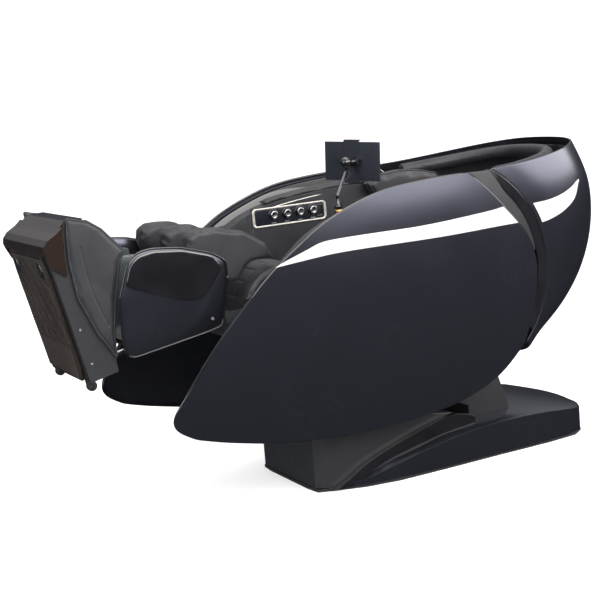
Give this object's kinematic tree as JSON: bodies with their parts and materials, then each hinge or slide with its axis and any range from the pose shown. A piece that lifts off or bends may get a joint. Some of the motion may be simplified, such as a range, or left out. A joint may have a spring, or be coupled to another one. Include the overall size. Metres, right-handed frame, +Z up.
{
  "type": "massage chair",
  "caption": "Reclining massage chair with shell sides, powered back and leg rest, foot box, roller carriage, arm console and tablet holder.",
  "frame": {"origin": "on the floor, under the base, midway between the foot end and the head end of the reclined chair", "axes": "-Y towards the sitter's feet, +Y towards the head, +X to the sitter's left, +Z up"},
  "size_m": [0.8138, 2.0738, 1.1452],
  "materials": {
    "shell": "satin",
    "dark_plastic": "satin",
    "gloss_black": "gloss",
    "stripe": "satin",
    "leather": "grained",
    "lining": "woven",
    "steel": "brushed",
    "frame_paint": "satin",
    "rubber": "matte",
    "bronze": "gloss",
    "sole": "satin",
    "knob_metal": "satin",
    "tablet": "satin",
    "roller": "matte"
  },
  "bodies": {
    "base": {"base_pan": "dark_plastic", "base_cover": "shell", "arch_covers": "gloss_black", "mechanism_housing": "dark_plastic", "pedestal": "dark_plastic", "slide_rails": "steel", "rubber_feet": "rubber", "power_inlet": "dark_plastic"},
    "slide_frame": {"slide_frame": "frame_paint", "slide_motor": "steel"},
    "seat": {"seat_frame": "frame_paint", "side_shell_left": "shell", "side_shell_right": "shell", "edge_trims": "rubber", "band_left": "dark_plastic", "band_right": "dark_plastic", "band_gloss": "gloss_black", "side_stripes": "stripe", "console_left": "leather", "console_right": "leather", "rim_covers": "dark_plastic", "arm_pads": "leather", "control_panel": "gloss_black", "seat_cushion": "leather"},
    "backrest": {"back_frame": "frame_paint", "guide_rails": "steel", "rear_shell": "shell", "rear_stripes": "stripe", "back_cushion": "leather", "head_pillow": "leather", "shoulder_pads": "leather", "hood_lining": "leather", "hood_pad": "leather"},
    "roller_carriage": {"roller_carriage": "frame_paint"},
    "upper_rollers": {"upper_rollers": "roller"},
    "lower_rollers": {"lower_rollers": "roller"},
    "legrest": {"leg_frame": "frame_paint", "calf_panel_left": "shell", "calf_panel_right": "shell", "calf_flaps": "gloss_black", "calf_pads": "lining", "knee_pads": "leather"},
    "footrest": {"foot_box": "dark_plastic", "sole_plate": "sole", "toe_cap": "bronze", "foot_lining": "lining", "side_fins": "leather", "foot_rods": "steel"},
    "foot_roller": {"foot_roller": "roller"},
    "caster_left": {"caster_left": "rubber"},
    "caster_right": {"caster_right": "rubber"},
    "tablet_arm": {"tablet_arm": "steel", "tablet_lead": "rubber"},
    "ball_socket": {"ball_socket": "gloss_black"},
    "tablet": {"tablet": "tablet"},
    "knob_1": {"knob_1": "knob_metal"},
    "knob_2": {"knob_2": "knob_metal"},
    "knob_3": {"knob_3": "knob_metal"},
    "knob_4": {"knob_4": "knob_metal"}
  },
  "joints": [
    {"name": "carriage_slide", "type": "slide", "parent": "base", "child": "slide_frame", "axis": [0, 1, 0], "range_m": [-0.016, 0.1075]},
    {"name": "seat_tilt", "type": "hinge", "parent": "slide_frame", "child": "seat", "pos_m": [0, 0.396, 0.32], "axis": [-1, 0, 0], "range_deg": [-5, 0]},
    {"name": "back_recline", "type": "hinge", "parent": "seat", "child": "backrest", "pos_m": [0, 0.26, 0.67], "axis": [-1, 0, 0], "range_deg": [-35, 5]},
    {"name": "roller_travel", "type": "slide", "parent": "backrest", "child": "roller_carriage", "axis": [0, 0.848, 0.5299], "range_m": [0, 0.34]},
    {"name": "upper_roller_spin", "type": "hinge", "parent": "roller_carriage", "child": "upper_rollers", "pos_m": [0, 0.49743, 0.61083], "axis": [1, 0, 0], "continuous": true},
    {"name": "lower_roller_spin", "type": "hinge", "parent": "roller_carriage", "child": "lower_rollers", "pos_m": [0, 0.42959, 0.56844], "axis": [1, 0, 0], "continuous": true},
    {"name": "leg_lift", "type": "hinge", "parent": "seat", "child": "legrest", "pos_m": [0, -0.298, 0.65], "axis": [-1, 0, 0], "range_deg": [-45, 5]},
    {"name": "foot_extend", "type": "slide", "parent": "legrest", "child": "footrest", "axis": [0, -0.9759, -0.2181], "range_m": [0, 0.12]},
    {"name": "foot_roller_spin", "type": "hinge", "parent": "footrest", "child": "foot_roller", "pos_m": [0, -0.94279, 0.71081], "axis": [1, 0, 0], "continuous": true},
    {"name": "caster_left_spin", "type": "hinge", "parent": "footrest", "child": "caster_left", "pos_m": [0.154, -0.91096, 0.49045], "axis": [1, 0, 0], "continuous": true},
    {"name": "caster_right_spin", "type": "hinge", "parent": "footrest", "child": "caster_right", "pos_m": [-0.154, -0.91096, 0.49045], "axis": [1, 0, 0], "continuous": true},
    {"name": "arm_swivel", "type": "hinge", "parent": "seat", "child": "tablet_arm", "pos_m": [0.296, -0.086, 0.912], "axis": [0, 0, 1], "range_deg": [-60, 40]},
    {"name": "tablet_turn", "type": "hinge", "parent": "tablet_arm", "child": "ball_socket", "pos_m": [0.245, -0.016, 1.074], "axis": [0, 0, 1], "range_deg": [-40, 40]},
    {"name": "tablet_tilt", "type": "hinge", "parent": "ball_socket", "child": "tablet", "pos_m": [0.22812, 0.01, 1.074], "axis": [0.8368, 0.5434, -0.0663], "range_deg": [-20, 20]},
    {"name": "knob_1_turn", "type": "hinge", "parent": "seat", "child": "knob_1", "pos_m": [-0.262, -0.0415, 0.884], "axis": [1, 0, 0], "range_deg": [-135, 135]},
    {"name": "knob_2_turn", "type": "hinge", "parent": "seat", "child": "knob_2", "pos_m": [-0.262, 0.0115, 0.884], "axis": [1, 0, 0], "range_deg": [-135, 135]},
    {"name": "knob_3_turn", "type": "hinge", "parent": "seat", "child": "knob_3", "pos_m": [-0.262, 0.0645, 0.884], "axis": [1, 0, 0], "range_deg": [-135, 135]},
    {"name": "knob_4_turn", "type": "hinge", "parent": "seat", "child": "knob_4", "pos_m": [-0.262, 0.1175, 0.884], "axis": [1, 0, 0], "range_deg": [-135, 135]}
  ],
  "couplings": [
    {"joint": "carriage_slide", "follows": "back_recline", "m_per_rad": -0.17516},
    {"joint": "lower_roller_spin", "follows": "upper_roller_spin", "ratio": -1}
  ]
}
